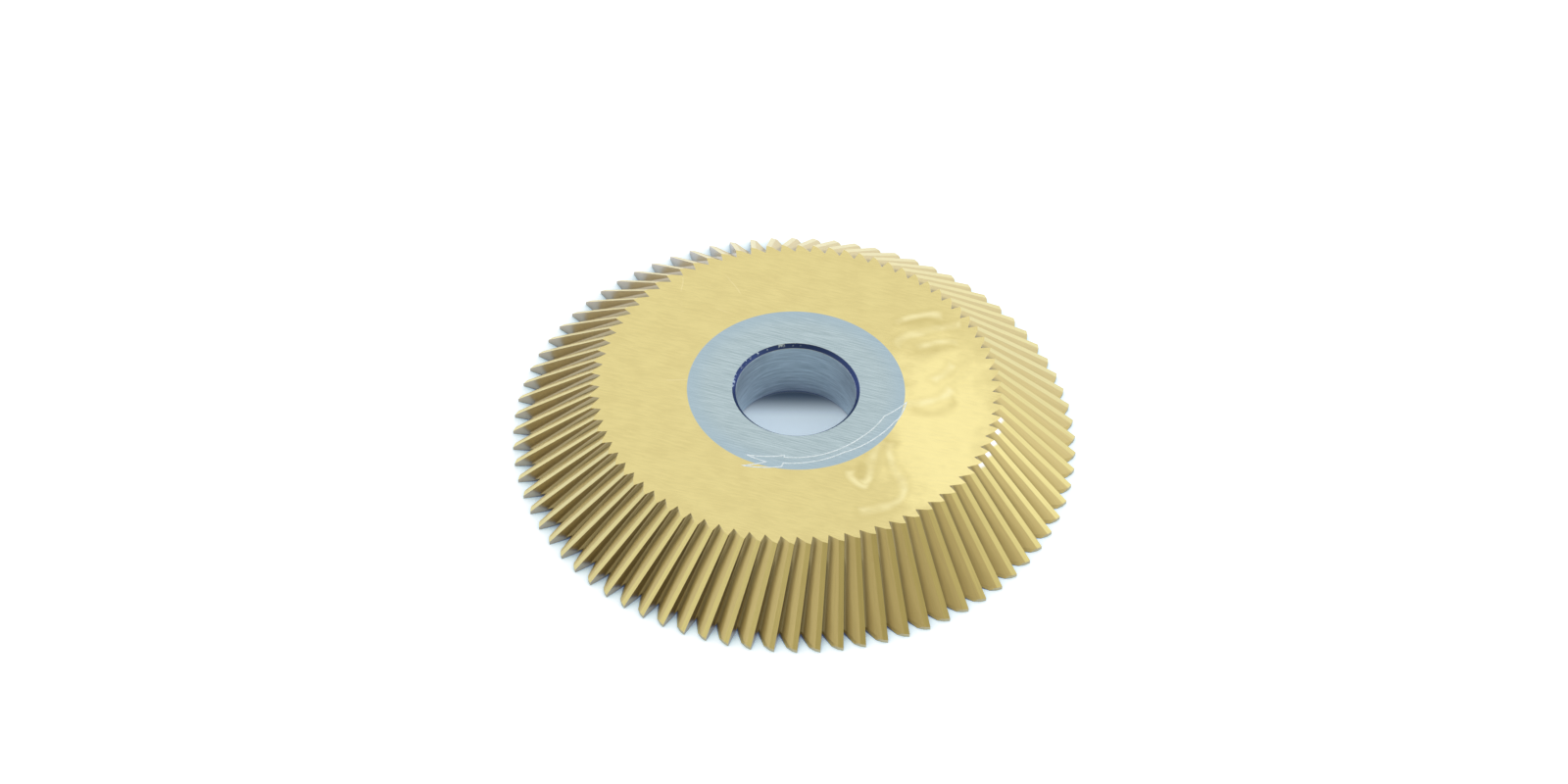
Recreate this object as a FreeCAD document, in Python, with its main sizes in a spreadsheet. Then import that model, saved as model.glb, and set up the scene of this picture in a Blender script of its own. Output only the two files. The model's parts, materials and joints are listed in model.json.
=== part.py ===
import FreeCAD, Part
import os
import Sketcher

# Single-angle milling cutter: a disc with a plain bore and straight teeth ground on a cone.
# It is one solid. It lies on its large face, which is the plane z = 0, and its axis is Z.
# Lengths are in millimetres and angles in degrees.

SIZES = [
    ("outside_diameter", 60.0, "over the tooth tips, at the large face"),
    ("body_thickness", 7.3, "from the large face to the small face"),
    ("bore_diameter", 12.7, "plain bore for the arbor"),
    ("bore_chamfer", 0.4, "at both ends of the bore"),
    ("hub_diameter", 23.0, "flat ring round the bore, under the disc"),
    ("dish_depth", 0.35, "recess under the disc, between the hub and the teeth"),
    ("side_land", 0.3, "flat width at the rim, outside the recess"),
    ("side_clearance_angle", 6.0, "slope of the recess at the teeth"),
    ("cone_angle", 40.0, "between the tooth edges and the large face"),
    ("rim_height", 0.39, "upright land below the cone, at the large face"),
    ("tooth_count", 80.0, "teeth round the cone"),
    ("rake_offset", 4.77, "distance of each tooth face's plane from the axis"),
    ("land_width", 0.57, "ground land behind each edge"),
    ("land_relief", 10.0, "slope of that land"),
    ("back_relief", 27.0, "slope of the tooth's back, behind the land"),
    ("gullet_back_angle", 51.0, "slope of the gullet's back wall"),
    ("gullet_depth_rim", 2.2, "down the tooth face, at the large face"),
    ("gullet_depth_small", 0.79, "down the tooth face, at the small face"),
]

# One tooth space is laid out beside its leading tooth face. That face is the upright plane
# y = rake_offset, and x runs outwards along it. A tip is the cutting edge of the tooth that
# follows, a heel is where that tooth's land meets its back, and a start is where a surface
# of that tooth, carried on, would meet the face. The blank is turned oversize by one land.
LAYOUT = [
    ("rim_radius", "sizes.outside_diameter / 2"),
    ("small_radius", "rim_radius - (sizes.body_thickness - sizes.rim_height) / tan(sizes.cone_angle)"),
    ("blank_rim_radius", "rim_radius + sizes.land_width"),
    ("blank_small_radius", "small_radius + sizes.land_width"),
    ("bore_radius", "sizes.bore_diameter / 2"),
    ("chamfer_radius", "bore_radius + sizes.bore_chamfer"),
    ("hub_radius", "sizes.hub_diameter / 2"),
    ("side_land_radius", "rim_radius - sizes.side_land"),
    ("dish_radius", "side_land_radius - sizes.dish_depth / tan(sizes.side_clearance_angle)"),
    ("pitch", "360 / sizes.tooth_count"),
    ("overlap", "rim_radius * sin(pitch) / 2"),
    ("clear_radius", "rim_radius + sizes.gullet_depth_rim"),
    ("face_rim", "sqrt(rim_radius ^ 2 - sizes.rake_offset ^ 2)"),
    ("face_small", "sqrt(small_radius ^ 2 - sizes.rake_offset ^ 2)"),
    ("tip_rim_x", "face_rim * cos(pitch) - sizes.rake_offset * sin(pitch)"),
    ("tip_rim_y", "face_rim * sin(pitch) + sizes.rake_offset * cos(pitch)"),
    ("tip_small_x", "face_small * cos(pitch) - sizes.rake_offset * sin(pitch)"),
    ("tip_small_y", "face_small * sin(pitch) + sizes.rake_offset * cos(pitch)"),
    ("heel_rim_x", "tip_rim_x - sizes.land_width * sin(sizes.land_relief)"),
    ("heel_rim_y", "tip_rim_y - sizes.land_width * cos(sizes.land_relief)"),
    ("heel_small_x", "tip_small_x - sizes.land_width * sin(sizes.land_relief)"),
    ("heel_small_y", "tip_small_y - sizes.land_width * cos(sizes.land_relief)"),
    ("land_start_rim", "tip_rim_x - (tip_rim_y - sizes.rake_offset) * tan(sizes.land_relief)"),
    ("land_start_small", "tip_small_x - (tip_small_y - sizes.rake_offset) * tan(sizes.land_relief)"),
    ("back_start_rim", "heel_rim_x - (heel_rim_y - sizes.rake_offset) * tan(sizes.back_relief)"),
    ("back_start_small", "heel_small_x - (heel_small_y - sizes.rake_offset) * tan(sizes.back_relief)"),
    ("gullet_start_rim", "face_rim - sizes.gullet_depth_rim"),
    ("gullet_start_small", "face_small - sizes.gullet_depth_small"),
    ("land_end_x", "tip_rim_x + overlap * sin(sizes.land_relief)"),
    ("land_end_y", "tip_rim_y + overlap * cos(sizes.land_relief)"),
    ("back_end_x", "heel_rim_x + overlap * sin(sizes.back_relief)"),
    ("back_end_y", "heel_rim_y + overlap * cos(sizes.back_relief)"),
    ("gullet_end_y", "sizes.rake_offset + (clear_radius - gullet_start_rim) / tan(sizes.gullet_back_angle)"),
]


def add_sheets(doc):
    sizes = doc.addObject("Spreadsheet::Sheet", "sizes")
    for row, (alias, number, note) in enumerate(SIZES, start=1):
        sizes.set(f"A{row}", alias)
        sizes.set(f"B{row}", str(number))
        sizes.setAlias(f"B{row}", alias)
        sizes.set(f"C{row}", note)
    layout = doc.addObject("Spreadsheet::Sheet", "layout")
    for row, (alias, formula) in enumerate(LAYOUT, start=1):
        layout.set(f"A{row}", alias)
        layout.set(f"B{row}", "=" + formula)
        layout.setAlias(f"B{row}", alias)
    doc.recompute()


def origin_part(body, role):
    return next(part for part in body.Origin.OriginFeatures if part.Role == role)


def add_sketch(body, name, plane, corners, height=None):
    """A closed outline with straight sides. Each corner is a pair of formulas, measured from
    the origin, and a formula of None puts the corner on that axis."""
    sketch = body.newObject("Sketcher::SketchObject", name)
    sketch.AttachmentSupport = [(origin_part(body, plane), "")]
    sketch.MapMode = "FlatFace"
    if height:
        sketch.setExpression("AttachmentOffset.Base.z", height)
    points = []
    for pair in corners:
        x, y = [sketch.evalExpression(formula) if formula else 0.0 for formula in pair]
        points.append(FreeCAD.Vector(x, y, 0))
    ends = points[1:] + points[:1]
    for start, end in zip(points, ends):
        sketch.addGeometry(Part.LineSegment(start, end), False)
    for side in range(len(points)):
        following = (side + 1) % len(points)
        sketch.addConstraint(Sketcher.Constraint("Coincident", side, 2, following, 1))
    for side, (pair, point) in enumerate(zip(corners, points)):
        pin_corner(sketch, side, pair, point)
    return sketch


def pin_corner(sketch, side, pair, point):
    origin, vertical_axis, horizontal_axis = -1, -2, -1
    measures = [("DistanceX", pair[0], point.x, vertical_axis), ("DistanceY", pair[1], point.y, horizontal_axis)]
    for kind, formula, value, axis in measures:
        if formula is None:
            sketch.addConstraint(Sketcher.Constraint("PointOnObject", side, 1, axis))
            continue
        number = sketch.addConstraint(Sketcher.Constraint(kind, origin, 1, side, 1, value))
        sketch.setExpression(f"Constraints[{number}]", formula)


def turn_blank(body):
    """The turned disc, with its bore, both chamfers and the recess under it."""
    corners = [
        ("layout.bore_radius", "sizes.bore_chamfer"),
        ("layout.chamfer_radius", None),
        ("layout.hub_radius", None),
        ("layout.hub_radius + sizes.dish_depth", "sizes.dish_depth"),
        ("layout.dish_radius", "sizes.dish_depth"),
        ("layout.side_land_radius", None),
        ("layout.blank_rim_radius", None),
        ("layout.blank_rim_radius", "sizes.rim_height"),
        ("layout.blank_small_radius", "sizes.body_thickness"),
        ("layout.chamfer_radius", "sizes.body_thickness"),
        ("layout.bore_radius", "sizes.body_thickness - sizes.bore_chamfer"),
    ]
    section = add_sketch(body, "disc_section", "XZ_Plane", corners)
    disc = body.newObject("PartDesign::Revolution", "disc")
    disc.Profile = section
    disc.ReferenceAxis = (section, ["V_Axis"])
    disc.Angle = 360
    body.Document.recompute()
    return disc


def cut_space(body, name, corners, height, length, run=None, rise=None):
    """One ground surface of a tooth space. The outline is swept upwards and inwards by run for
    each rise, or straight down where no run is given."""
    before = body.Shape.Volume
    pocket = body.newObject("PartDesign::Pocket", name)
    pocket.Profile = add_sketch(body, name + "_section", "XY_Plane", corners, height)
    pocket.Reversed = False
    if run:
        pocket.UseCustomVector = True
        pocket.AlongSketchNormal = True
        pocket.Direction = FreeCAD.Vector(0, 0, 1)
        pocket.setExpression("Direction.x", run)
        pocket.setExpression("Direction.z", rise)
    pocket.setExpression("Length", length)
    body.Tip = pocket
    body.Document.recompute()
    if before - pocket.Shape.Volume < 1e-3:
        raise RuntimeError(name + " cuts nothing")
    return pocket


def grind_tooth_space(body):
    face = "sizes.rake_offset"
    clear = "layout.clear_radius"
    land_end = ("layout.land_end_x", "layout.land_end_y")
    back_end = ("layout.back_end_x", "layout.back_end_y")
    gullet = cut_space(
        body,
        "gullet",
        [("layout.gullet_start_rim", face), (clear, "layout.gullet_end_y"), (clear, face)],
        None,
        "sizes.body_thickness + sizes.rim_height",
        "layout.gullet_start_small - layout.gullet_start_rim",
        "sizes.body_thickness",
    )
    land = cut_space(
        body,
        "land",
        [("layout.land_start_rim", face), land_end, (clear, land_end[1]), (clear, face)],
        "sizes.rim_height",
        "sizes.body_thickness",
        "layout.land_start_small - layout.land_start_rim",
        "sizes.body_thickness - sizes.rim_height",
    )
    back = cut_space(
        body,
        "back",
        [("layout.back_start_rim", face), back_end, (clear, back_end[1]), (clear, face)],
        "sizes.rim_height",
        "sizes.body_thickness",
        "layout.back_start_small - layout.back_start_rim",
        "sizes.body_thickness - sizes.rim_height",
    )
    heel = ("layout.heel_rim_x", "layout.heel_rim_y")
    rim = cut_space(
        body,
        "rim",
        [("layout.back_start_rim", face), heel, land_end, (clear, land_end[1]), (clear, face)],
        "sizes.rim_height",
        "2 * sizes.rim_height",
    )
    return [gullet, land, back, rim]


def repeat_round_axis(body, cuts):
    teeth = body.newObject("PartDesign::PolarPattern", "teeth")
    teeth.Originals = cuts
    teeth.Axis = (origin_part(body, "Z_Axis"), [""])
    teeth.Angle = 360
    teeth.setExpression("Occurrences", "sizes.tooth_count")
    body.Tip = teeth


def build_cutter(doc):
    body = doc.addObject("PartDesign::Body", "cutter")
    body.Label = "cutter"
    turn_blank(body)
    repeat_round_axis(body, grind_tooth_space(body))
    # The disc is turned so that one tooth tip lies on the X axis.
    body.Placement = FreeCAD.Placement(FreeCAD.Vector(0, 0, 0), FreeCAD.Rotation(FreeCAD.Vector(0, 0, 1), -1))
    body.setExpression("Placement.Rotation.Angle", "-asin(sizes.rake_offset / layout.rim_radius)")
    doc.recompute()
    return body


def check_and_write(doc, bodies):
    for item in doc.Objects:
        if "Invalid" in item.State or "Error" in item.State:
            raise RuntimeError(f"{item.Name}: {item.State}")
    for body in bodies:
        shape = body.Shape
        if shape.isNull() or not shape.isValid() or len(shape.Solids) != 1:
            raise RuntimeError(body.Label + " is not one valid solid")
    os.makedirs("parts", exist_ok=True)
    for body in bodies:
        body.Shape.exportStep(f"parts/{body.Label}.step")
        box = body.Shape.BoundBox
        faces = len(body.Shape.Faces)
        print(f"{body.Label}: {box.XLength:.3f} x {box.YLength:.3f} x {box.ZLength:.3f} mm, {faces} faces")


document = FreeCAD.newDocument("AngleCutter")
add_sheets(document)
check_and_write(document, [build_cutter(document)])
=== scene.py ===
import json
import math

import bmesh
import bpy
from mathutils import Matrix, Vector


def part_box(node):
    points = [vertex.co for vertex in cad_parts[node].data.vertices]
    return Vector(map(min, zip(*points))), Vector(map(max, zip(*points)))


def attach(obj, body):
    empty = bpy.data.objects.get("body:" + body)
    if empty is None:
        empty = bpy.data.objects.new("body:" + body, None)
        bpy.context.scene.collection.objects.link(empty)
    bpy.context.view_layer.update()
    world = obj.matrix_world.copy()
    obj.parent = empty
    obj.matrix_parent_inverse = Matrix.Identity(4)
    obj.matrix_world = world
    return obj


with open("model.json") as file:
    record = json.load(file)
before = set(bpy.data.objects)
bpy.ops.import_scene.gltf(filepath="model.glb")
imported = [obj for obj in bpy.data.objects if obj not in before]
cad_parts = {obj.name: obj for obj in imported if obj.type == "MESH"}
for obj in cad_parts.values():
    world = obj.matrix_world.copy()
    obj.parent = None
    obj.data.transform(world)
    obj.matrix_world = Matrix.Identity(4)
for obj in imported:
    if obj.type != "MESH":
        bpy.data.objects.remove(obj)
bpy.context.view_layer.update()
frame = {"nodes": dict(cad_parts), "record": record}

MM = 0.001
CUTTER = frame["nodes"]["cutter"]
LOW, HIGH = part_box("cutter")
BORE = next(mount for mount in frame["record"]["mounts"] if mount["name"] == "bore")

# The form of the cutter, in millimetres, as its material uses it.
RIM_RADIUS = HIGH.x / MM
TOP = HIGH.z / MM
BORE_RADIUS = BORE["dims"]["r_mm"]
CHAMFER_RADIUS = BORE_RADIUS + (TOP - BORE["dims"]["length_mm"]) / 2
RING_RADIUS = 11.5
TOOTH_ZONE_RADIUS = 15.0
RIM_LAND_HEIGHT = 0.39
CONE_ANGLE = math.radians(40)
CONE_RUN = 1 / math.tan(CONE_ANGLE)
RAKE_OFFSET = 4.77
RIM_RAKE_ANGLE = math.asin(RAKE_OFFSET / RIM_RADIUS)
TEETH = 80
TOOTH_ANGLE = 2 * math.pi / TEETH
LAND_WIDTH = 0.57
GULLET_DEPTH_RIM = 2.2
GULLET_DEPTH_TOP = 0.79

# The rounded tooth that the light falls on: slopes, and widths in millimetres.
BACK_SLOPE = -math.tan(math.radians(25))
GULLET_SLOPE = -math.tan(math.radians(51))
BACK_END = 0.85
GULLET_START = 1.9
ROOT_SLOPE = 1.2
ROOT_WIDTH = 0.45
ROOT_HEIGHT = 0.55

# How far a face turns up, down or along the rim: the share of its normal in that direction.
UP = (0, 0, 1)
FACES_DOWN = -0.9
FACES_BACK = -0.36
FACES_ON = (0.7, 0.8)
STANDS_UPRIGHT = 0.2

# Marks of the grinding: directions, and lengths in millimetres.
GRINDING_ANGLE = math.radians(-17)
FEED_LINE_ANGLE = math.radians(14)
FEED_LINE_PITCH = 0.22
GRAIN = {"length": 1.2, "width": 0.16}
FINE_GRAIN = {"length": 2.2, "width": 0.08, "detail": 1.0}
HATCHING = {"length": 3.0, "width": 0.07, "detail": 1.0}

# The patch of the gold face where a highlight is painted, and the lands beside it with a painted glint.
PATCH_CENTRE = (15.5, -6.0)
PATCH_REACH = (6.5, 15.0)
GLINT_BEARING = math.radians(-20)
GLINT_REACH = math.radians(13)
GLINT_CORE = math.radians(8)

# Roughness, and the share of metal in the shine of the duller zones.
FACE_ROUGHNESS = 0.21
RING_ROUGHNESS = 0.27
RAKE_ROUGHNESS = 0.28
LAND_ROUGHNESS = 0.32
WORN_ROUGHNESS = 0.42
CHAMFER_METAL = 0.5
BACK_METAL = 0.65
WORN_METAL = 0.8

# The camera, fitted to the photograph.
CAMERA_PLACE = (-9.37 * MM, -276.51 * MM, 298.11 * MM)
CAMERA_HEADING = math.radians(-1.68)
CAMERA_DOWN = math.radians(46.478)
CAMERA_ROLL = math.radians(1.749)
CAMERA_LENS = 87.435
SENSOR_WIDTH = 36.0

# The arrow: radius in mm and bearing in degrees of each corner, from the notch in its tail.
ARROW = [
    (10.90, -107.0),
    (12.35, -117.4),
    (11.20, -98.3),
    (10.68, -97.6),
    (10.25, -61.5),
    (10.75, -40.0),
    (11.25, -24.0),
    (11.48, -21.3),
    (11.75, -8.6),
    (9.98, -22.3),
    (9.92, -25.0),
    (9.60, -45.0),
    (9.60, -59.6),
    (9.85, -97.5),
    (9.60, -97.9),
    (10.80, -119.0),
]
ARROW_LINE = 0.14
ARROW_RISE = 0.004

# Shallow waves in the gold face, bumped, with painted highlights on their ridges and painted shade in their
# dips, and hairline scratches on it: arcs through three points, in mm.
RIDGES = [
    [(11.6, 10.3), (13.3, 10.9), (15.6, 10.9)],
    [(11.1, 6.9), (12.4, 8.2), (14.0, 8.85)],
    [(14.0, 8.85), (15.5, 9.3), (17.3, 9.6)],
    [(13.4, 6.5), (15.2, 7.0), (17.3, 7.2)],
    [(15.0, 1.7), (15.7, 2.5), (16.3, 3.4)],
    [(12.4, -2.2), (14.2, -1.6), (16.3, 0.1)],
    [(5.4, -11.6), (5.7, -13.1), (6.7, -13.6)],
    [(6.9, -12.9), (7.6, -12.0), (7.7, -10.6)],
    [(7.7, -10.6), (8.2, -9.0), (9.2, -7.8)],
    [(9.9, -8.3), (9.9, -10.1), (10.7, -12.2)],
    [(10.7, -12.2), (10.9, -14.4), (9.9, -16.1)],
    [(9.9, -16.1), (8.5, -16.8), (6.6, -17.2)],
]
DIPS = [
    [(11.8, 9.7), (13.6, 10.1), (15.4, 9.9)],
    [(12.2, 5.3), (14.6, 5.6), (16.9, 6.5)],
    [(12.8, -3.3), (14.8, -3.3), (16.7, -1.0)],
    [(6.4, -12.3), (6.45, -11.6), (6.7, -10.9)],
    [(9.2, -8.1), (9.8, -7.5), (10.5, -7.7)],
]
SCRATCHES = [
    [(-12.1, 16.2), (-12.3, 14.0), (-12.0, 11.4)],
    [(-12.0, 11.4), (-9.6, 11.9), (-7.1, 11.1)],
    [(-7.6, 17.2), (-6.4, 15.0), (-5.2, 12.9)],
    [(-13.6, 1.2), (-12.4, 1.25), (-11.2, 1.2)],
]
FAR_AWAY = 1000.0

# Linear colours of the cutter.
GOLD = (0.715, 0.60, 0.258, 1)
GOLD_LIGHT = (0.785, 0.668, 0.292, 1)
GOLD_BACK = (0.73, 0.59, 0.235, 1)
GOLD_LAND = (0.80, 0.685, 0.27, 1)
GOLD_ROOT_PAINTED_SHADE = (0.44, 0.365, 0.175, 1)
GOLD_STREAK = (0.3, 0.24, 0.12, 1)
GOLD_PAINTED_HIGHLIGHT = (0.97, 0.84, 0.385, 1)
GOLD_RIDGE_PAINTED_HIGHLIGHT = (1.0, 0.91, 0.52, 1)
GOLD_DIP_PAINTED_SHADE = (0.56, 0.45, 0.16, 1)
GOLD_SCRATCH = (0.95, 0.85, 0.5, 1)
GLINT = (1, 1, 0.97, 1)
RAKE_STEEL = (0.45, 0.39, 0.29, 1)
RIM_STEEL = (0.53, 0.46, 0.27, 1)
STEEL = (0.35, 0.44, 0.46, 1)
STEEL_LIGHT = (0.53, 0.635, 0.655, 1)
STEEL_BLUE = (0.38, 0.50, 0.575, 1)
BORE_STEEL = (0.36, 0.44, 0.46, 1)
BORE_LIGHT = (0.60, 0.70, 0.72, 1)
DARK_EDGE = (0.02, 0.046, 0.15, 1)
ETCHED_DULL = (0.66, 0.76, 0.77, 1)
ETCHED_BRIGHT = (0.88, 0.95, 0.95, 1)

# The table: its colours in the open, in the cutter's shadow, and in the shadow painted inside the bore.
TABLE = (0.90, 0.92, 0.95, 1)
TABLE_SOFT_SHADOW = (0.70, 0.87, 0.96, 1)
TABLE_CONTACT = (0.05, 0.08, 0.20, 1)
TABLE_IN_GLOSS = (0.70, 0.80, 1.25, 1)
HOLE_NEAR = (0.60, 0.71, 0.81, 1)
HOLE_FAR_PAINTED_SHADOW = (0.055, 0.085, 0.135, 1)
TABLE_HALF = 0.8
TABLE_GAP = 0.01 * MM
SHADOW_REACH = 7 * MM
GLOW_IN_GLOSS = 0.4
GLOW_IN_VIEW = 0.42

# The room: its dimmer sides, its tones and the soft box.
WHITE = (1, 1, 1, 1)
NEUTRAL_LIGHT = (0.98, 0.99, 1.0, 1)
WARM_LIGHT = (1.0, 0.88, 0.62, 1)
COOL_LIGHT = (0.90, 0.99, 1.5, 1)
DIM_SIDE = (-0.125, -0.886, 0.45)
DIM_LEFT = (-0.94, 0.15, 0.31)
SOFT_BOX_PLACE = (225, -16, 182)
SOFT_BOX_SIZE = 100
SOFT_BOX_POWER = 0.018
SOFT_BOX_COLOUR = (0.85, 0.95, 1.45)


def circle_centre(first, second, third):
    """The centre of the circle through three points of a plane."""
    across, along = second - first, third - first
    twice_area = 2 * (across.x * along.y - across.y * along.x)
    offset = Vector((along.y * across.length_squared - across.y * along.length_squared,
                     across.x * along.length_squared - along.x * across.length_squared))
    return first + offset / twice_area


class Graph:
    """Short helpers for building one node tree."""

    # The first value's socket and the output of a Mix node, for each kind of value.
    MIX_SOCKETS = {"FLOAT": (2, 0), "VECTOR": (4, 1), "RGBA": (6, 2)}

    def __init__(self, tree):
        self.tree = tree
        tree.nodes.clear()

    def node(self, kind, **settings):
        made = self.tree.nodes.new(kind)
        for name, value in settings.items():
            setattr(made, name, value)
        return made

    def feed(self, socket, value):
        if isinstance(value, bpy.types.NodeSocket):
            self.tree.links.new(value, socket)
        else:
            socket.default_value = value

    def feed_all(self, made, values):
        for socket, value in zip(made.inputs, values):
            self.feed(socket, value)
        return made

    def math(self, operation, *values):
        return self.feed_all(self.node("ShaderNodeMath", operation=operation), values).outputs[0]

    def plus(self, first, second):
        return self.math("ADD", first, second)

    def minus(self, first, second):
        return self.math("SUBTRACT", first, second)

    def times(self, first, second):
        return self.math("MULTIPLY", first, second)

    def times_plus(self, value, factor, offset):
        return self.math("MULTIPLY_ADD", value, factor, offset)

    def larger(self, first, second):
        return self.math("MAXIMUM", first, second)

    def below(self, value, limit):
        return self.math("LESS_THAN", value, limit)

    def above(self, value, limit):
        return self.math("GREATER_THAN", value, limit)

    def outside(self, mask):
        return self.math("SUBTRACT", 1.0, mask)

    def step(self, value, low, high, start=0.0, end=1.0):
        """A smooth change from start to end, while the value goes from low to high."""
        made = self.node("ShaderNodeMapRange", interpolation_type="SMOOTHSTEP")
        return self.feed_all(made, (value, low, high, start, end)).outputs[0]

    def mix_values(self, kind, factor, first, second):
        made = self.node("ShaderNodeMix", data_type=kind)
        first_socket, output = self.MIX_SOCKETS[kind]
        self.feed(made.inputs[0], factor)
        self.feed(made.inputs[first_socket], first)
        self.feed(made.inputs[first_socket + 1], second)
        return made.outputs[output]

    def mix(self, factor, first, second):
        return self.mix_values("RGBA", factor, first, second)

    def blend(self, factor, first, second):
        return self.mix_values("FLOAT", factor, first, second)

    def turn(self, factor, first, second):
        return self.mix_values("VECTOR", factor, first, second)

    def vector(self, operation, *values, output=0):
        return self.feed_all(self.node("ShaderNodeVectorMath", operation=operation), values).outputs[output]

    def dot(self, first, second):
        return self.vector("DOT_PRODUCT", first, second, output="Value")

    def scale(self, vector, factor):
        made = self.node("ShaderNodeVectorMath", operation="SCALE")
        self.feed(made.inputs[0], vector)
        self.feed(made.inputs["Scale"], factor)
        return made.outputs[0]

    def combine(self, *values):
        return self.feed_all(self.node("ShaderNodeCombineXYZ"), values).outputs[0]

    def separate(self, vector):
        return self.feed_all(self.node("ShaderNodeSeparateXYZ"), (vector,)).outputs

    def object_place(self):
        """The place on the object, in millimetres."""
        return self.scale(self.node("ShaderNodeTexCoord").outputs["Object"], 1 / MM)

    def noise(self, place, scale, detail=2.0, roughness=0.5, output="Fac"):
        made = self.node("ShaderNodeTexNoise")
        self.feed(made.inputs["Vector"], place)
        self.feed(made.inputs["Scale"], scale)
        self.feed(made.inputs["Detail"], detail)
        self.feed(made.inputs["Roughness"], roughness)
        return made.outputs[output]

    def streaks(self, place, angle, length, width, detail=2.0):
        """Noise drawn out along a direction in the face."""
        turned = self.node("ShaderNodeVectorRotate", rotation_type="Z_AXIS")
        self.feed(turned.inputs["Vector"], place)
        turned.inputs["Angle"].default_value = -angle
        drawn = self.vector("MULTIPLY", turned.outputs[0], (1 / length, 1 / width, 1 / width))
        return self.noise(drawn, 1.0, detail, 0.6)

    def distance(self, place, point):
        return self.vector("DISTANCE", place, (point.x, point.y, TOP), output="Value")

    def nearest(self, place, arcs):
        """The distance to the nearest of some arcs in the top face."""
        nearest = FAR_AWAY
        for corners in arcs:
            start, middle, end = (Vector(corner) for corner in corners)
            centre = circle_centre(start, middle, end)
            off_circle = self.minus(self.distance(place, centre), (start - centre).length)
            off_middle = self.minus(self.distance(place, middle), (end - start).length / 2)
            gap = self.larger(self.math("ABSOLUTE", off_circle), off_middle)
            nearest = self.math("MINIMUM", nearest, gap)
        return nearest

    def bump(self, height, distance, strength, normal):
        made = self.node("ShaderNodeBump")
        made.inputs["Strength"].default_value = strength
        made.inputs["Distance"].default_value = distance * MM
        self.feed(made.inputs["Height"], height)
        self.feed(made.inputs["Normal"], normal)
        return made.outputs[0]

    def finish(self, kind, shader):
        self.feed(self.node(kind).inputs["Surface"], shader.outputs[0])


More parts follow.
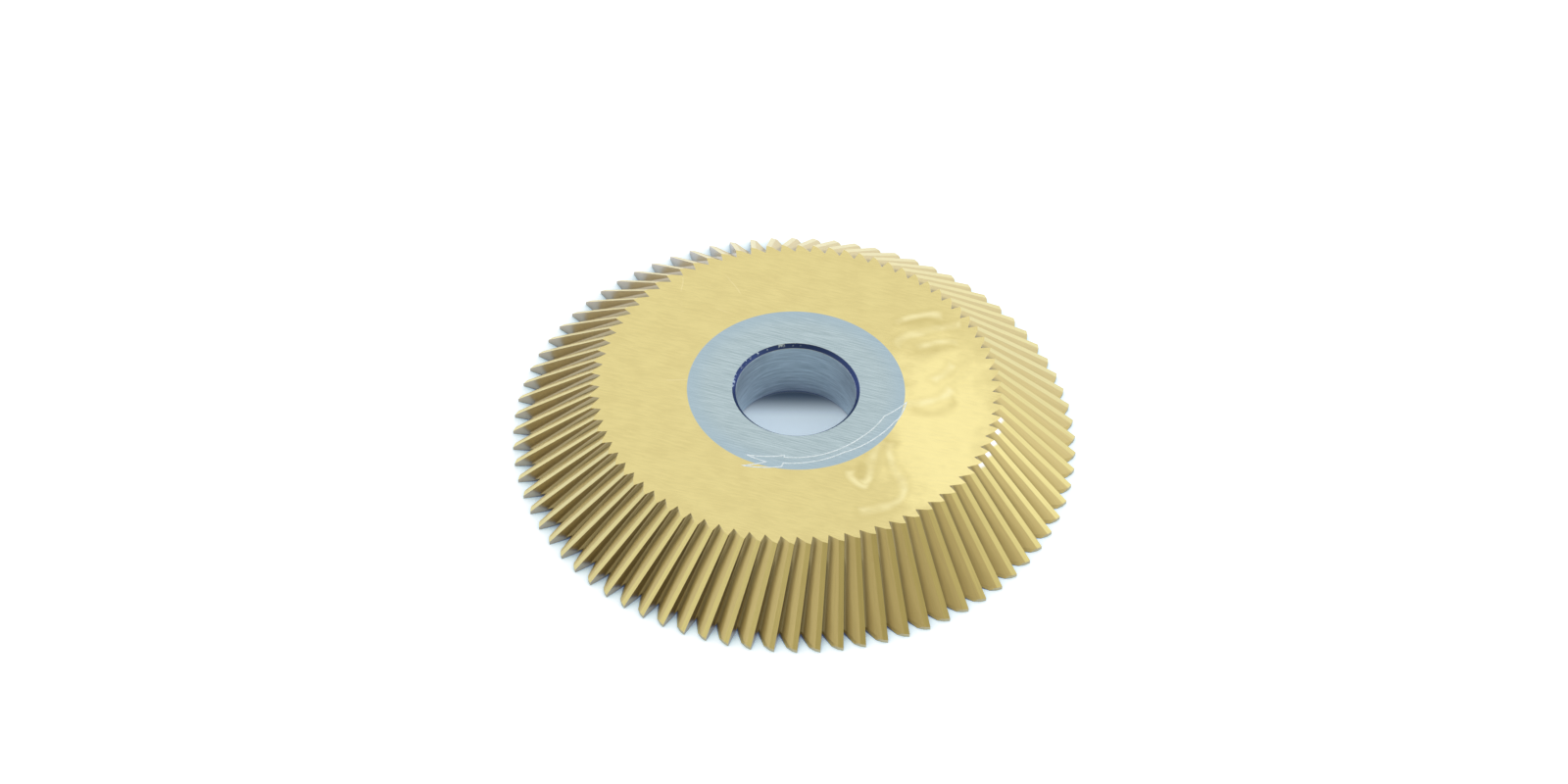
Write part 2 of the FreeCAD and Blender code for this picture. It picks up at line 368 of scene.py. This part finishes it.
class CutterGraph(Graph):
    """The material of the cutter. Lengths are in millimetres, and masks go from 0 to 1."""

    def build(self):
        self.find_place()
        self.find_zones()
        self.find_tooth()
        self.find_root()
        self.find_grain()
        on_flank = self.tooth_colour()
        colour = self.mix(self.on_teeth, self.face_colour(), on_flank)
        colour = self.mix(self.on_ring, colour, self.ring_colour())
        colour = self.mix(self.in_bore, colour, self.bore_colour())
        colour = self.mix(self.on_chamfer, colour, self.chamfer_colour())
        # Painted glint: the land tops at one bearing turn white.
        colour = self.mix(self.glint(), colour, GLINT)
        normal = self.surface_normal()
        shader = self.node("ShaderNodeBsdfPrincipled")
        self.feed(shader.inputs["Base Color"], colour)
        self.feed_shine(shader)
        self.feed(shader.inputs["Normal"], normal)
        self.finish("ShaderNodeOutputMaterial", shader)

    def find_place(self):
        """Where a point lies, which way its face turns, and a slow drift that bends the waves."""
        self.place = self.object_place()
        self.x, self.y, self.z = self.separate(self.place)
        squares = self.plus(self.times(self.x, self.x), self.times(self.y, self.y))
        self.radius = self.math("SQRT", squares)
        self.bearing = self.math("ARCTAN2", self.y, self.x)
        radial = self.vector("NORMALIZE", self.vector("MULTIPLY", self.place, (1, 1, 0)))
        tangent = self.vector("CROSS_PRODUCT", UP, radial)
        flat_normal = self.node("ShaderNodeNewGeometry").outputs["True Normal"]
        self.facing_on = self.dot(flat_normal, tangent)
        self.facing_up = self.dot(flat_normal, UP)
        clouds = self.noise(self.place, 0.33, detail=0.5, output="Color")
        centred = self.vector("SUBTRACT", clouds, (0.5, 0.5, 0.5))
        self.drift = self.vector("MULTIPLY", centred, (1.2, 1.2, 0))

    def find_zones(self):
        """The faces, the bare ring, the bore with its chamfer, the teeth and their rake faces."""
        self.on_top = self.step(self.z, TOP - 0.02, TOP - 0.005)
        self.on_face = self.larger(self.on_top, self.below(self.facing_up, FACES_DOWN))
        past_ring = self.step(self.radius, RING_RADIUS - 0.04, RING_RADIUS + 0.04)
        self.on_ring = self.times(self.outside(past_ring), self.on_face)
        past_wall = self.step(self.radius, BORE_RADIUS + 0.01, BORE_RADIUS + 0.03)
        self.in_bore = self.outside(past_wall)
        between = self.outside(self.larger(self.in_bore, self.on_face))
        self.on_chamfer = self.times(between, self.below(self.radius, CHAMFER_RADIUS + 0.05))
        in_tooth_zone = self.above(self.radius, TOOTH_ZONE_RADIUS)
        self.on_rake = self.times(self.step(self.facing_on, *FACES_ON), in_tooth_zone)
        self.on_teeth = self.times(self.outside(self.on_face), in_tooth_zone)

    def find_tooth(self):
        """Where a point lies across its tooth: 0 at one rake face, 1 at the next, and how far it is
        behind the edge and from the root. The light falls on the back as on one curved surface,
        which is steepest at the root."""
        rake_angle = self.math("ARCSINE", self.math("DIVIDE", RAKE_OFFSET, self.radius))
        rake_turn = self.minus(rake_angle, RIM_RAKE_ANGLE)
        teeth_on = self.times(self.minus(self.bearing, rake_turn), 1 / TOOTH_ANGLE)
        self.tooth = self.math("FLOOR", teeth_on)
        self.across = self.math("FRACT", teeth_on)
        width = self.times(self.radius, TOOTH_ANGLE)
        self.behind = self.times(self.outside(self.across), width)
        self.from_root = self.times(self.across, width)
        above_rim = self.above(self.z, RIM_LAND_HEIGHT + 0.01)
        on_cone = self.times(self.on_teeth, above_rim)
        self.on_back = self.times(self.below(self.facing_on, FACES_BACK), on_cone)
        own_tooth = self.blend(self.on_rake, self.tooth, self.math("ROUND", teeth_on))
        middle = self.times_plus(own_tooth, TOOTH_ANGLE, -RIM_RAKE_ANGLE)
        cosine, sine = self.math("COSINE", middle), self.math("SINE", middle)
        self.outwards = self.combine(cosine, sine, CONE_RUN)
        self.onwards = self.combine(self.times(sine, -1.0), cosine)
        slope = self.step(self.behind, BACK_END, GULLET_START, BACK_SLOPE, GULLET_SLOPE)
        slope = self.blend(self.step(self.from_root, ROOT_WIDTH, 0.0), slope, ROOT_SLOPE)
        leaning = self.vector("ADD", self.outwards, self.scale(self.onwards, slope))
        self.back_normal = self.vector("NORMALIZE", leaning)

    def find_root(self):
        """The rake face runs into the same rounded root."""
        rim_edge = RIM_RADIUS + RIM_LAND_HEIGHT * CONE_RUN
        edge_radius = self.times_plus(self.z, -CONE_RUN, rim_edge)
        edge_out = self.math("SQRT", self.times_plus(edge_radius, edge_radius, -RAKE_OFFSET ** 2))
        out = self.math("SQRT", self.times_plus(self.radius, self.radius, -RAKE_OFFSET ** 2))
        depth = self.times_plus(self.z, (GULLET_DEPTH_TOP - GULLET_DEPTH_RIM) / TOP, GULLET_DEPTH_RIM)
        above_root = self.minus(depth, self.minus(edge_out, out))
        self.in_root = self.step(above_root, ROOT_HEIGHT, 0.0)
        leaning = self.vector("ADD", self.outwards, self.scale(self.onwards, ROOT_SLOPE))
        root_normal = self.vector("NORMALIZE", leaning)
        rounded = self.turn(self.in_root, self.onwards, root_normal)
        self.rake_normal = self.vector("NORMALIZE", rounded)

    def find_grain(self):
        """The marks that all the faces share."""
        self.grain = self.streaks(self.place, GRINDING_ANGLE, **GRAIN)
        fine = self.streaks(self.place, GRINDING_ANGLE, **FINE_GRAIN)
        self.mottling = self.noise(self.place, 0.4, detail=3.0)
        streaky = self.times_plus(fine, 0.3, self.times(self.grain, 0.35))
        self.brushing = self.times_plus(self.mottling, 0.35, streaky)

    def tooth_colour(self):
        """The lighter lands, the duller backs with faint lines, the roots darkened with painted shade, the
        rim and the rake faces.
        """
        along_tooth = self.combine(
            self.times(self.across, 14.0), self.times(self.radius, 0.25), self.times(self.tooth, 3.7))
        lines = self.noise(along_tooth, 1.0)
        off_rake = self.minus(self.on_teeth, self.on_rake)
        self.on_land = self.times(self.below(self.behind, LAND_WIDTH), off_rake)
        colour = self.mix(self.on_land, GOLD_BACK, GOLD_LAND)
        colour = self.mix(self.times(self.step(lines, 0.35, 0.75), 0.10), colour, GOLD_STREAK)
        # Painted shade: the back darkens towards the root of the gullet.
        colour = self.mix(self.step(self.from_root, 0.8, 0.2), colour, GOLD_ROOT_PAINTED_SHADE)
        upright = self.below(self.math("ABSOLUTE", self.facing_up), STANDS_UPRIGHT)
        at_rim = self.times(upright, self.below(self.z, RIM_LAND_HEIGHT + 0.02))
        colour = self.mix(self.times(at_rim, off_rake), colour, RIM_STEEL)
        # Near the root the rake face takes the same gold with painted shade.
        return self.mix(self.on_rake, colour, self.mix(self.in_root, RAKE_STEEL, GOLD_ROOT_PAINTED_SHADE))

    def face_colour(self):
        """The brushed gold, with a patch of painted highlight, its waves with painted highlights and
        painted shade, and its scratches.
        """
        gold = self.mix(self.step(self.brushing, 0.35, 0.65), GOLD, GOLD_LIGHT)
        bent = self.vector("ADD", self.place, self.vector("MULTIPLY", self.drift, (0.6, 0.6, 0)))
        scratch = self.step(self.nearest(bent, SCRATCHES), 0.07, 0.02)
        scratch = self.times(scratch, self.step(self.mottling, 0.4, 0.55))
        # Painted highlight: the gold turns paler in the patch, following the brushing.
        painted_highlight = self.times(self.patch(), self.step(self.brushing, 0.2, 0.6, 0.6, 0.95))
        gold = self.mix(painted_highlight, gold, GOLD_PAINTED_HIGHLIGHT)
        wandering = self.vector("ADD", self.place, self.drift)
        self.off_ridge = self.nearest(wandering, RIDGES)
        uneven = self.step(self.noise(self.place, 0.5, detail=1.0), 0.35, 0.65)
        self.dip = self.step(self.nearest(wandering, DIPS), 1.0, 0.0)
        # Painted shade in the dips of the waves and beside their ridges.
        dip_painted_shade = self.times(self.dip, self.times_plus(uneven, 0.15, 0.25))
        gold = self.mix(dip_painted_shade, gold, GOLD_DIP_PAINTED_SHADE)
        shade_painted_beside_ridge = self.times(self.step(self.off_ridge, 1.3, 0.6), self.times_plus(uneven, -0.06, 0.14))
        gold = self.mix(shade_painted_beside_ridge, gold, GOLD_DIP_PAINTED_SHADE)
        # Painted highlight along the ridges of the waves.
        ridge_painted_highlight = self.times(self.step(self.off_ridge, 0.7, 0.0), self.times_plus(uneven, 0.4, 0.2))
        gold = self.mix(ridge_painted_highlight, gold, GOLD_RIDGE_PAINTED_HIGHLIGHT)
        return self.mix(self.times(scratch, 0.35), gold, GOLD_SCRATCH)

    def patch(self):
        """An oval on the top face, with a cloudy edge, where the highlight is painted."""
        squares = []
        for value, centre, reach in zip((self.x, self.y), PATCH_CENTRE, PATCH_REACH):
            squares.append(self.math("POWER", self.times_plus(value, 1 / reach, -centre / reach), 2.0))
        from_centre = self.math("SQRT", self.plus(*squares))
        cloudy = self.plus(from_centre, self.times(self.mottling, 1.6))
        return self.times(self.on_top, self.step(cloudy, 2.1, 1.2))

    def ring_colour(self):
        """Bare ground steel, with the feed lines of the wheel, bluish towards the coating."""
        bluish = self.step(self.radius, RING_RADIUS - 2.5, RING_RADIUS)
        hatching = self.streaks(self.place, GRINDING_ANGLE, **HATCHING)
        over = self.dot(self.place, (-math.sin(FEED_LINE_ANGLE), math.cos(FEED_LINE_ANGLE), 0))
        feed_lines = self.math("SINE", self.times(over, 2 * math.pi / FEED_LINE_PITCH))
        feed_lines = self.times(feed_lines, self.step(self.mottling, 0.42, 0.6))
        cut_marks = self.times_plus(hatching, 0.7, self.times(self.grain, 0.3))
        cut_marks = self.times_plus(feed_lines, 0.13, cut_marks)
        bare = self.mix(self.step(cut_marks, 0.25, 0.75), STEEL, STEEL_LIGHT)
        return self.mix(self.times(bluish, 0.6), bare, STEEL_BLUE)

    def bore_colour(self):
        """The reamed wall, lighter towards its left and right, with upright streaks there."""
        unrolled = self.combine(self.times(self.bearing, 2.5), self.times(self.z, 3.5))
        upright = self.vector("MULTIPLY", unrolled, (3.0, 0.12, 0))
        to_sides = self.step(self.math("ABSOLUTE", self.x), 3.2, 5.8)
        reaming = self.noise(unrolled, 1.0, detail=3.0, roughness=0.6)
        reamed = self.times_plus(reaming, 0.9, self.times(to_sides, 0.12))
        streak_noise = self.step(self.noise(upright, 1.0), 0.45, 0.62)
        upright_streaks = self.times(self.times(streak_noise, to_sides), 0.6)
        light = self.larger(self.step(reamed, 0.25, 0.75), upright_streaks)
        return self.mix(light, BORE_STEEL, BORE_LIGHT)

    def chamfer_colour(self):
        """The dark chamfer, with bright nicks in its outer edge on the far left."""
        speckled = self.step(self.noise(self.place, 2.4), 0.56, 0.62)
        at_edge = self.step(self.radius, CHAMFER_RADIUS - 0.3, CHAMFER_RADIUS - 0.1)
        far_left = self.step(self.minus(self.y, self.x), 5.0, 8.0)
        nick = self.times(self.times(speckled, at_edge), far_left)
        return self.mix(nick, DARK_EDGE, STEEL_LIGHT)

    def glint(self):
        """A painted glint on the tops of the lands beside the bright patch."""
        at_top = self.times(self.on_land, self.step(self.z, TOP - 0.45, TOP - 0.15))
        turned_off = self.math("ABSOLUTE", self.minus(self.bearing, GLINT_BEARING))
        return self.times(at_top, self.step(turned_off, GLINT_REACH, GLINT_CORE))

    def surface_normal(self):
        """The rounded teeth, the grain, the unevenness of the coating and the waves."""
        normal = self.node("ShaderNodeNewGeometry").outputs["Normal"]
        normal = self.turn(self.on_back, normal, self.back_normal)
        above_rim = self.times(self.on_rake, self.above(self.z, RIM_LAND_HEIGHT))
        normal = self.turn(above_rim, normal, self.rake_normal)
        normal = self.bump(self.grain, 0.004, 0.3, normal)
        normal = self.bump(self.mottling, 0.05, 0.5, normal)
        wave = self.minus(self.step(self.off_ridge, 0.9, 0.0), self.dip)
        return self.bump(self.times(wave, self.on_top), 0.025, 1.0, normal)

    def feed_shine(self, shader):
        """The backs of the teeth and the bore are worn, and so duller than the rest."""
        off_back = self.larger(self.on_land, self.on_rake)
        worn = self.larger(self.minus(self.on_teeth, off_back), self.in_bore)
        metallic = self.blend(self.on_back, self.blend(worn, 1.0, WORN_METAL), BACK_METAL)
        self.feed(shader.inputs["Metallic"], self.blend(self.on_chamfer, metallic, CHAMFER_METAL))
        roughness = self.blend(self.on_teeth, FACE_ROUGHNESS, LAND_ROUGHNESS)
        roughness = self.blend(self.on_ring, roughness, RING_ROUGHNESS)
        bright = self.larger(self.on_rake, self.on_chamfer)
        roughness = self.blend(bright, roughness, RAKE_ROUGHNESS)
        self.feed(shader.inputs["Roughness"], self.blend(worn, roughness, WORN_ROUGHNESS))


def new_material(name, graph_kind=Graph):
    material = bpy.data.materials.new(name)
    material.use_nodes = True
    return material, graph_kind(material.node_tree)


def cutter_material():
    material, graph = new_material("coated_steel", CutterGraph)
    graph.build()
    return material


def arrow_outline():
    """The corners of the outline, in mm, with its long sides as arcs round the bore."""
    points = []
    for (radius, bearing), (next_radius, next_bearing) in zip(ARROW, ARROW[1:] + ARROW[:1]):
        steps = max(1, round(abs(next_bearing - bearing) / 2))
        for number in range(steps):
            share = number / steps
            here = math.radians(bearing + (next_bearing - bearing) * share)
            reach = radius + (next_radius - radius) * share
            points.append(Vector((reach * math.cos(here), reach * math.sin(here))))
    return points


def add_arrow():
    """The etched outline that shows the direction of rotation."""
    points = arrow_outline()
    count = len(points)
    mesh = bpy.data.meshes.new("rotation_arrow")
    work = bmesh.new()
    rows = []
    for number, point in enumerate(points):
        before = (point - points[number - 1]).normalized()
        after = (points[(number + 1) % count] - point).normalized()
        along = (before + after).normalized()
        across = Vector((-along.y, along.x)) * (ARROW_LINE / 2 / max(0.5, along.dot(after)))
        corners = [point + across, point - across]
        rows.append([work.verts.new((c.x * MM, c.y * MM, (TOP + ARROW_RISE) * MM)) for c in corners])
    for number in range(count):
        here, there = rows[number], rows[(number + 1) % count]
        work.faces.new((here[1], there[1], there[0], here[0]))
    work.normal_update()
    work.to_mesh(mesh)
    work.free()
    arrow = bpy.data.objects.new("rotation_arrow", mesh)
    bpy.context.scene.collection.objects.link(arrow)
    mesh.materials.append(etched_material())
    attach(arrow, "root")


def etched_material():
    material, graph = new_material("etched_line")
    wear = graph.step(graph.noise(graph.object_place(), 3.0, detail=3.0, roughness=0.6), 0.35, 0.65)
    shader = graph.node("ShaderNodeBsdfPrincipled")
    graph.feed(shader.inputs["Base Color"], graph.mix(wear, ETCHED_DULL, ETCHED_BRIGHT))
    shader.inputs["Metallic"].default_value = 0.35
    graph.feed(shader.inputs["Roughness"], graph.blend(wear, 0.35, 0.5))
    graph.finish("ShaderNodeOutputMaterial", shader)
    return material


def floor_material():
    """A white table with a soft bluish shadow painted from how open it is to the sky, and a shadow painted
    inside the bore, as if the light came in from the near side: darker towards the far side.
    """
    material, graph = new_material("white_table")
    light_path = graph.node("ShaderNodeLightPath")
    camera_ray, glossy_ray = light_path.outputs["Is Camera Ray"], light_path.outputs["Is Glossy Ray"]
    open_sky = graph.node("ShaderNodeAmbientOcclusion", samples=8)
    open_sky.inputs["Distance"].default_value = SHADOW_REACH
    openness = open_sky.outputs["AO"]
    shaded = graph.mix(graph.step(openness, 0.14, 0.54), TABLE_CONTACT, TABLE_SOFT_SHADOW)
    table = graph.mix(graph.step(openness, 0.45, 0.95), shaded, TABLE)
    place = graph.object_place()
    radius = graph.vector("LENGTH", graph.vector("MULTIPLY", place, (1, 1, 0)), output="Value")
    away = graph.separate(place)[1]
    # Painted shadow inside the bore, darker towards the far side.
    hole_painted_shadow = graph.mix(graph.step(away, 2.6, 6.2), HOLE_NEAR, HOLE_FAR_PAINTED_SHADOW)
    table = graph.mix(graph.step(radius, BORE_RADIUS + 0.6, BORE_RADIUS), table, hole_painted_shadow)
    diffuse = graph.node("ShaderNodeBsdfDiffuse")
    graph.feed(diffuse.inputs["Color"], table)
    glow = graph.node("ShaderNodeEmission")
    in_gloss = graph.mix(0.5, table, TABLE_IN_GLOSS)
    graph.feed(glow.inputs["Color"], graph.mix(glossy_ray, table, in_gloss))
    in_view = graph.times(camera_ray, GLOW_IN_VIEW)
    graph.feed(glow.inputs["Strength"], graph.times_plus(glossy_ray, GLOW_IN_GLOSS, in_view))
    both = graph.node("ShaderNodeAddShader")
    graph.feed(both.inputs[0], diffuse.outputs[0])
    graph.feed(both.inputs[1], glow.outputs[0])
    graph.finish("ShaderNodeOutputMaterial", both)
    return material


def add_floor():
    mesh = bpy.data.meshes.new("table")
    signs = [(-1, -1), (1, -1), (1, 1), (-1, 1)]
    corners = [(TABLE_HALF * x, TABLE_HALF * y, 0) for x, y in signs]
    mesh.from_pydata(corners, [], [(0, 1, 2, 3)])
    floor = bpy.data.objects.new("table", mesh)
    floor.location.z = LOW.z - TABLE_GAP
    bpy.context.scene.collection.objects.link(floor)
    mesh.materials.append(floor_material())


def add_world():
    """A white room, dimmer and warmer on one side, cooler low at the far side."""
    world = bpy.data.worlds.new("white_room")
    bpy.context.scene.world = world
    world.use_nodes = True
    graph = Graph(world.node_tree)
    direction = graph.node("ShaderNodeTexCoord").outputs["Generated"]
    _, y, z = graph.separate(direction)
    front = graph.dot(direction, Vector(DIM_SIDE).normalized())
    level = graph.step(front, 1.1, 0.42, 0.25, 1.03)
    near_floor = graph.step(z, 0.5, 0.25)
    level = graph.larger(level, graph.times(near_floor, 0.92))
    left = graph.dot(direction, Vector(DIM_LEFT).normalized())
    level = graph.plus(level, graph.step(left, 0.39, 0.8, 0.0, -0.1))
    low = graph.times(graph.step(z, 0.45, 0.1), graph.step(y, -0.4, 0.1))
    level = graph.times_plus(low, 0.12, level)
    neutral = graph.larger(graph.step(front, 1.0, 0.5), near_floor)
    tone = graph.mix(neutral, WARM_LIGHT, NEUTRAL_LIGHT)
    tone = graph.mix(low, tone, COOL_LIGHT)
    seen = graph.node("ShaderNodeLightPath").outputs["Is Camera Ray"]
    background = graph.node("ShaderNodeBackground")
    graph.feed(background.inputs["Color"], graph.mix(seen, tone, WHITE))
    graph.feed(background.inputs["Strength"], graph.blend(seen, level, 1.0))
    graph.finish("ShaderNodeOutputWorld", background)


def add_soft_box():
    """A square lamp on the right that faces the cutter."""
    light = bpy.data.lights.new("soft_box_right", "AREA")
    light.shape = "SQUARE"
    light.size = SOFT_BOX_SIZE * MM
    light.energy = SOFT_BOX_POWER
    light.color = SOFT_BOX_COLOUR
    lamp = bpy.data.objects.new("soft_box_right", light)
    bpy.context.scene.collection.objects.link(lamp)
    lamp.visible_camera = False
    lamp.location = Vector(SOFT_BOX_PLACE) * MM
    lamp.rotation_euler = (-lamp.location).to_track_quat("-Z", "Y").to_euler()


def add_camera():
    camera = bpy.data.cameras.new("photo_view")
    camera.sensor_fit = "HORIZONTAL"
    camera.sensor_width = SENSOR_WIDTH
    camera.lens = CAMERA_LENS
    camera.clip_start = 10 * MM
    holder = bpy.data.objects.new("photo_view", camera)
    bpy.context.scene.collection.objects.link(holder)
    turn = Matrix.Rotation(CAMERA_HEADING, 4, "Z")
    turn = turn @ Matrix.Rotation(math.pi / 2 - CAMERA_DOWN, 4, "X")
    turn = turn @ Matrix.Rotation(CAMERA_ROLL, 4, "Z")
    holder.matrix_world = Matrix.Translation(CAMERA_PLACE) @ turn
    bpy.context.scene.camera = holder


CUTTER.data.materials.clear()
CUTTER.data.materials.append(cutter_material())
add_arrow()
add_floor()
add_world()
add_soft_box()
add_camera()
bpy.context.scene.view_settings.view_transform = "Standard"
